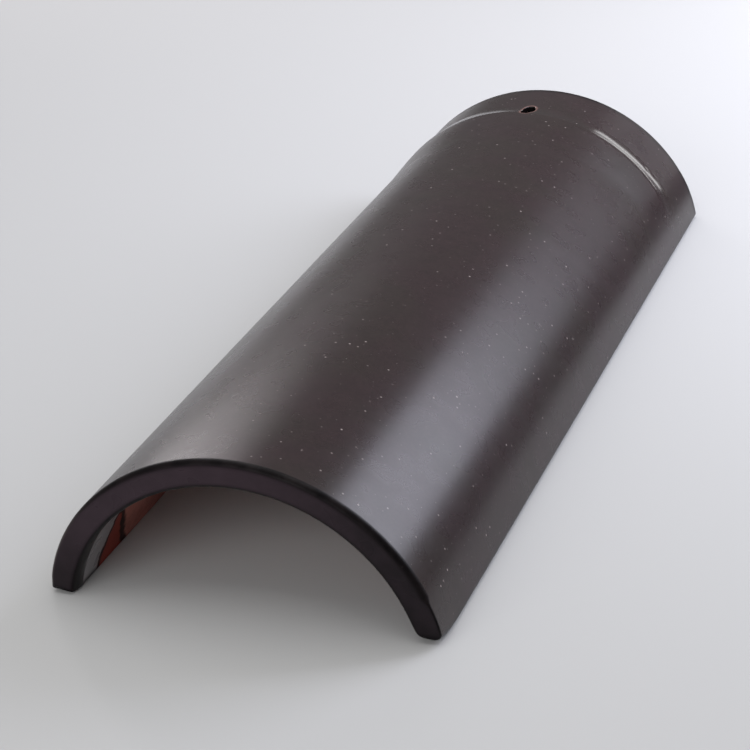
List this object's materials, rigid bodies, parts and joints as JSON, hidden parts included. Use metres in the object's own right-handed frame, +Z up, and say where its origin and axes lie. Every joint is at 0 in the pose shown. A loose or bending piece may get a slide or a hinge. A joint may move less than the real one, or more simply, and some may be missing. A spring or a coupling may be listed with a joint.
{
  "type": "barrel roof tile",
  "caption": "Glazed clay barrel roof tile: a straight arched trough with a stepped spigot and nail hole at its upper end and a socket inside its lower end.",
  "frame": {"origin": "middle of the tile's footprint, on the plane of its two long feet", "axes": "+Y along the barrel from the lower (socket) end to the upper (spigot) end, +Z up through the crown, X across"},
  "size_m": [0.1494, 0.4, 0.0629],
  "materials": {
    "glazed_clay": "semi-gloss dark brown glaze over red clay"
  },
  "bodies": {
    "root": {"tile": "glazed_clay"}
  },
  "joints": []
}
